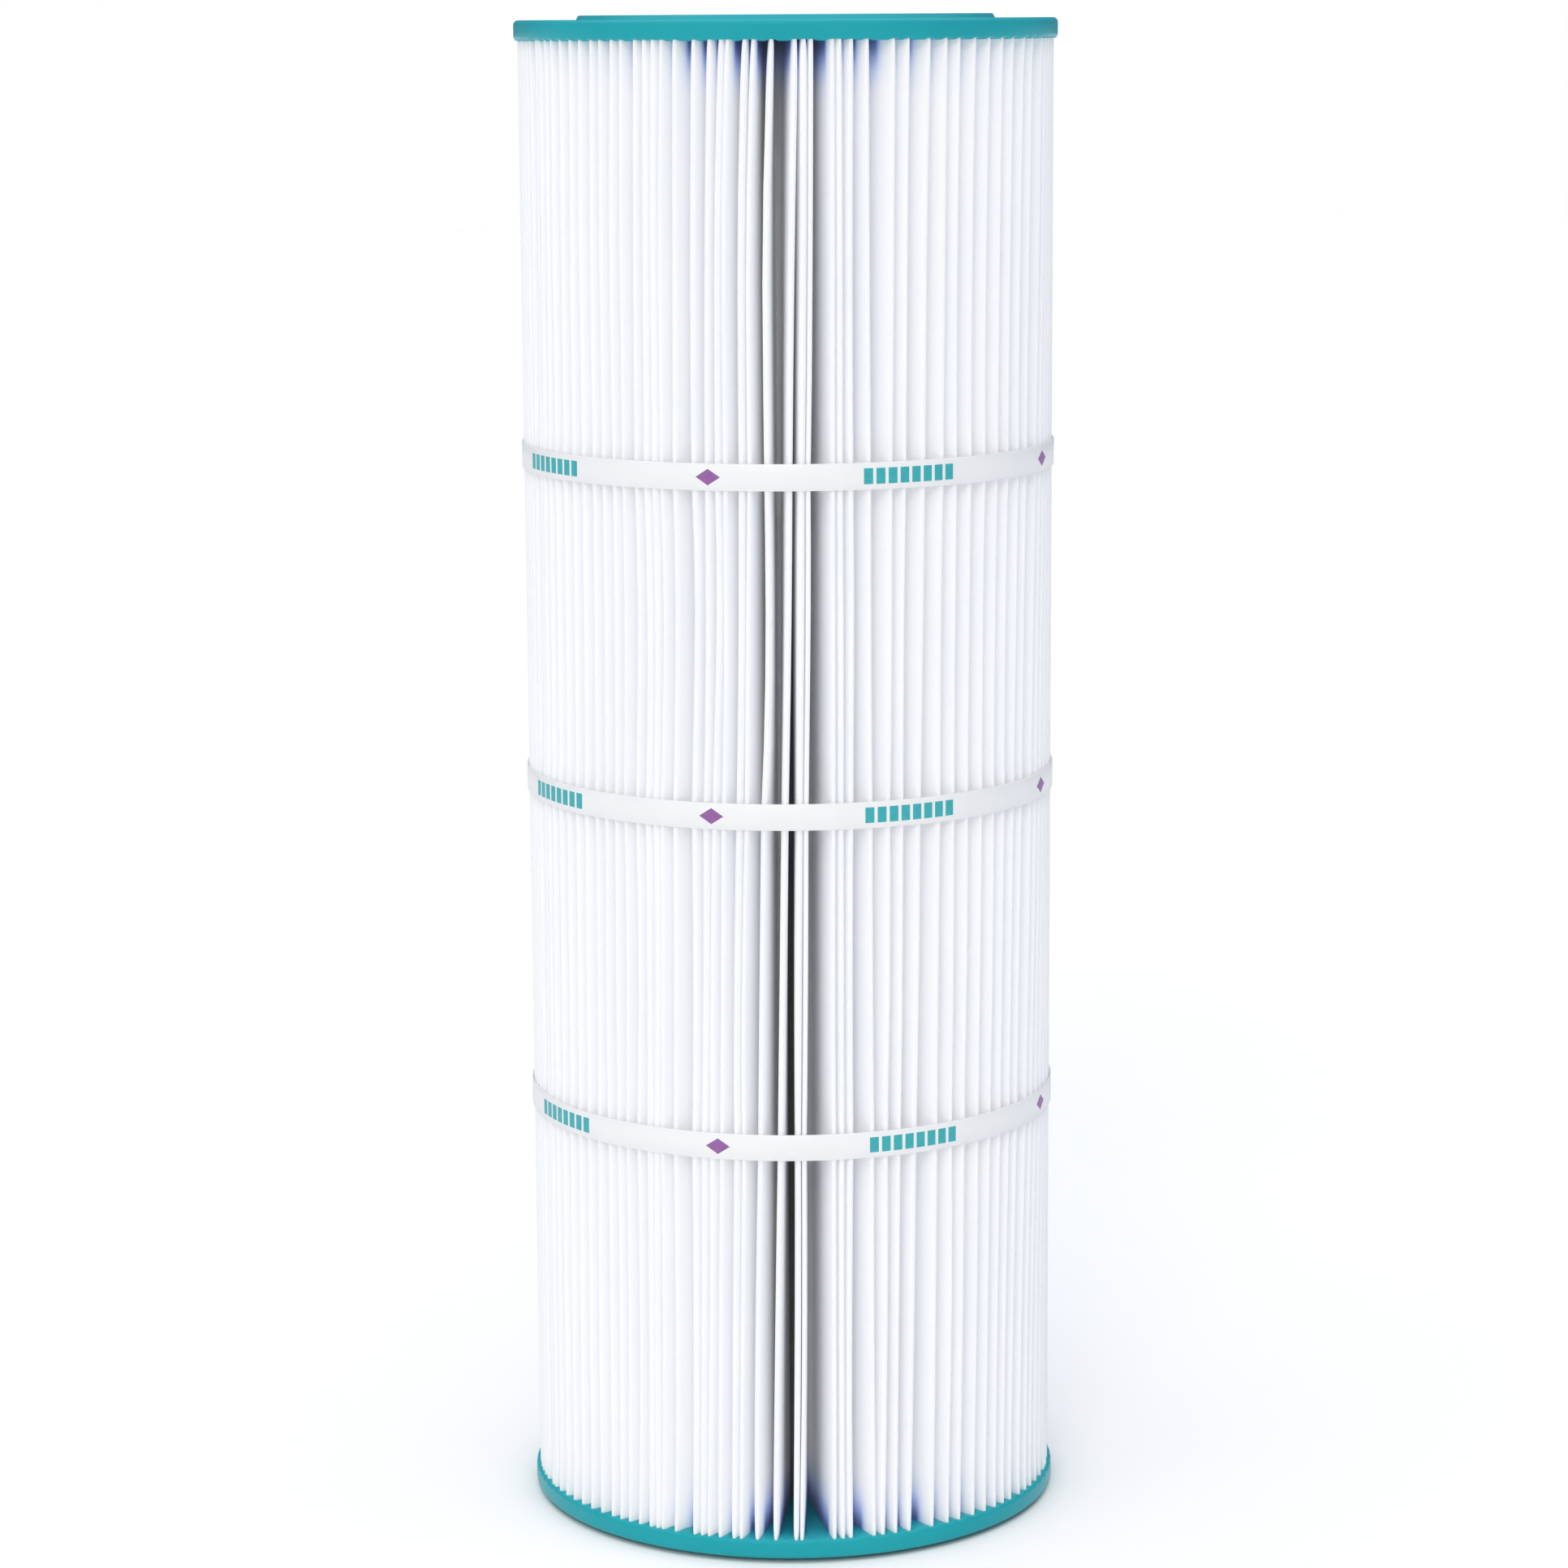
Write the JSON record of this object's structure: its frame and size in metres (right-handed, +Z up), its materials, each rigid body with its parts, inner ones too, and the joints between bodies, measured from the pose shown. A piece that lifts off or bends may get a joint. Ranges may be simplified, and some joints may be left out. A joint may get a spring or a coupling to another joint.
{
  "type": "filter cartridge",
  "caption": "Round pleated filter cartridge with cast end caps, an open perforated core and strap bands round the pleats.",
  "frame": {"origin": "centre of the bottom cap's raised face, on the cartridge's axis", "axes": "+Z up along the axis, from the bottom cap to the top cap; -Y towards the seam of the filter fabric"},
  "size_m": [0.1778, 0.1778, 0.4985],
  "materials": {
    "cap_polyurethane": "satin",
    "core_plastic": "matte",
    "filter_fabric": "matte",
    "seam_sealant": "matte",
    "band_strap": "satin",
    "hot_melt": "satin"
  },
  "bodies": {
    "root": {"top_end_cap": "cap_polyurethane", "bottom_end_cap": "cap_polyurethane", "core_lower_section": "core_plastic", "core_upper_section": "core_plastic", "filter_media": "filter_fabric", "media_seam_strip": "seam_sealant", "band_upper": "band_strap", "band_middle": "band_strap", "band_lower": "band_strap", "glue_bead_upper": "hot_melt", "glue_bead_middle": "hot_melt", "glue_bead_lower": "hot_melt"}
  },
  "joints": []
}
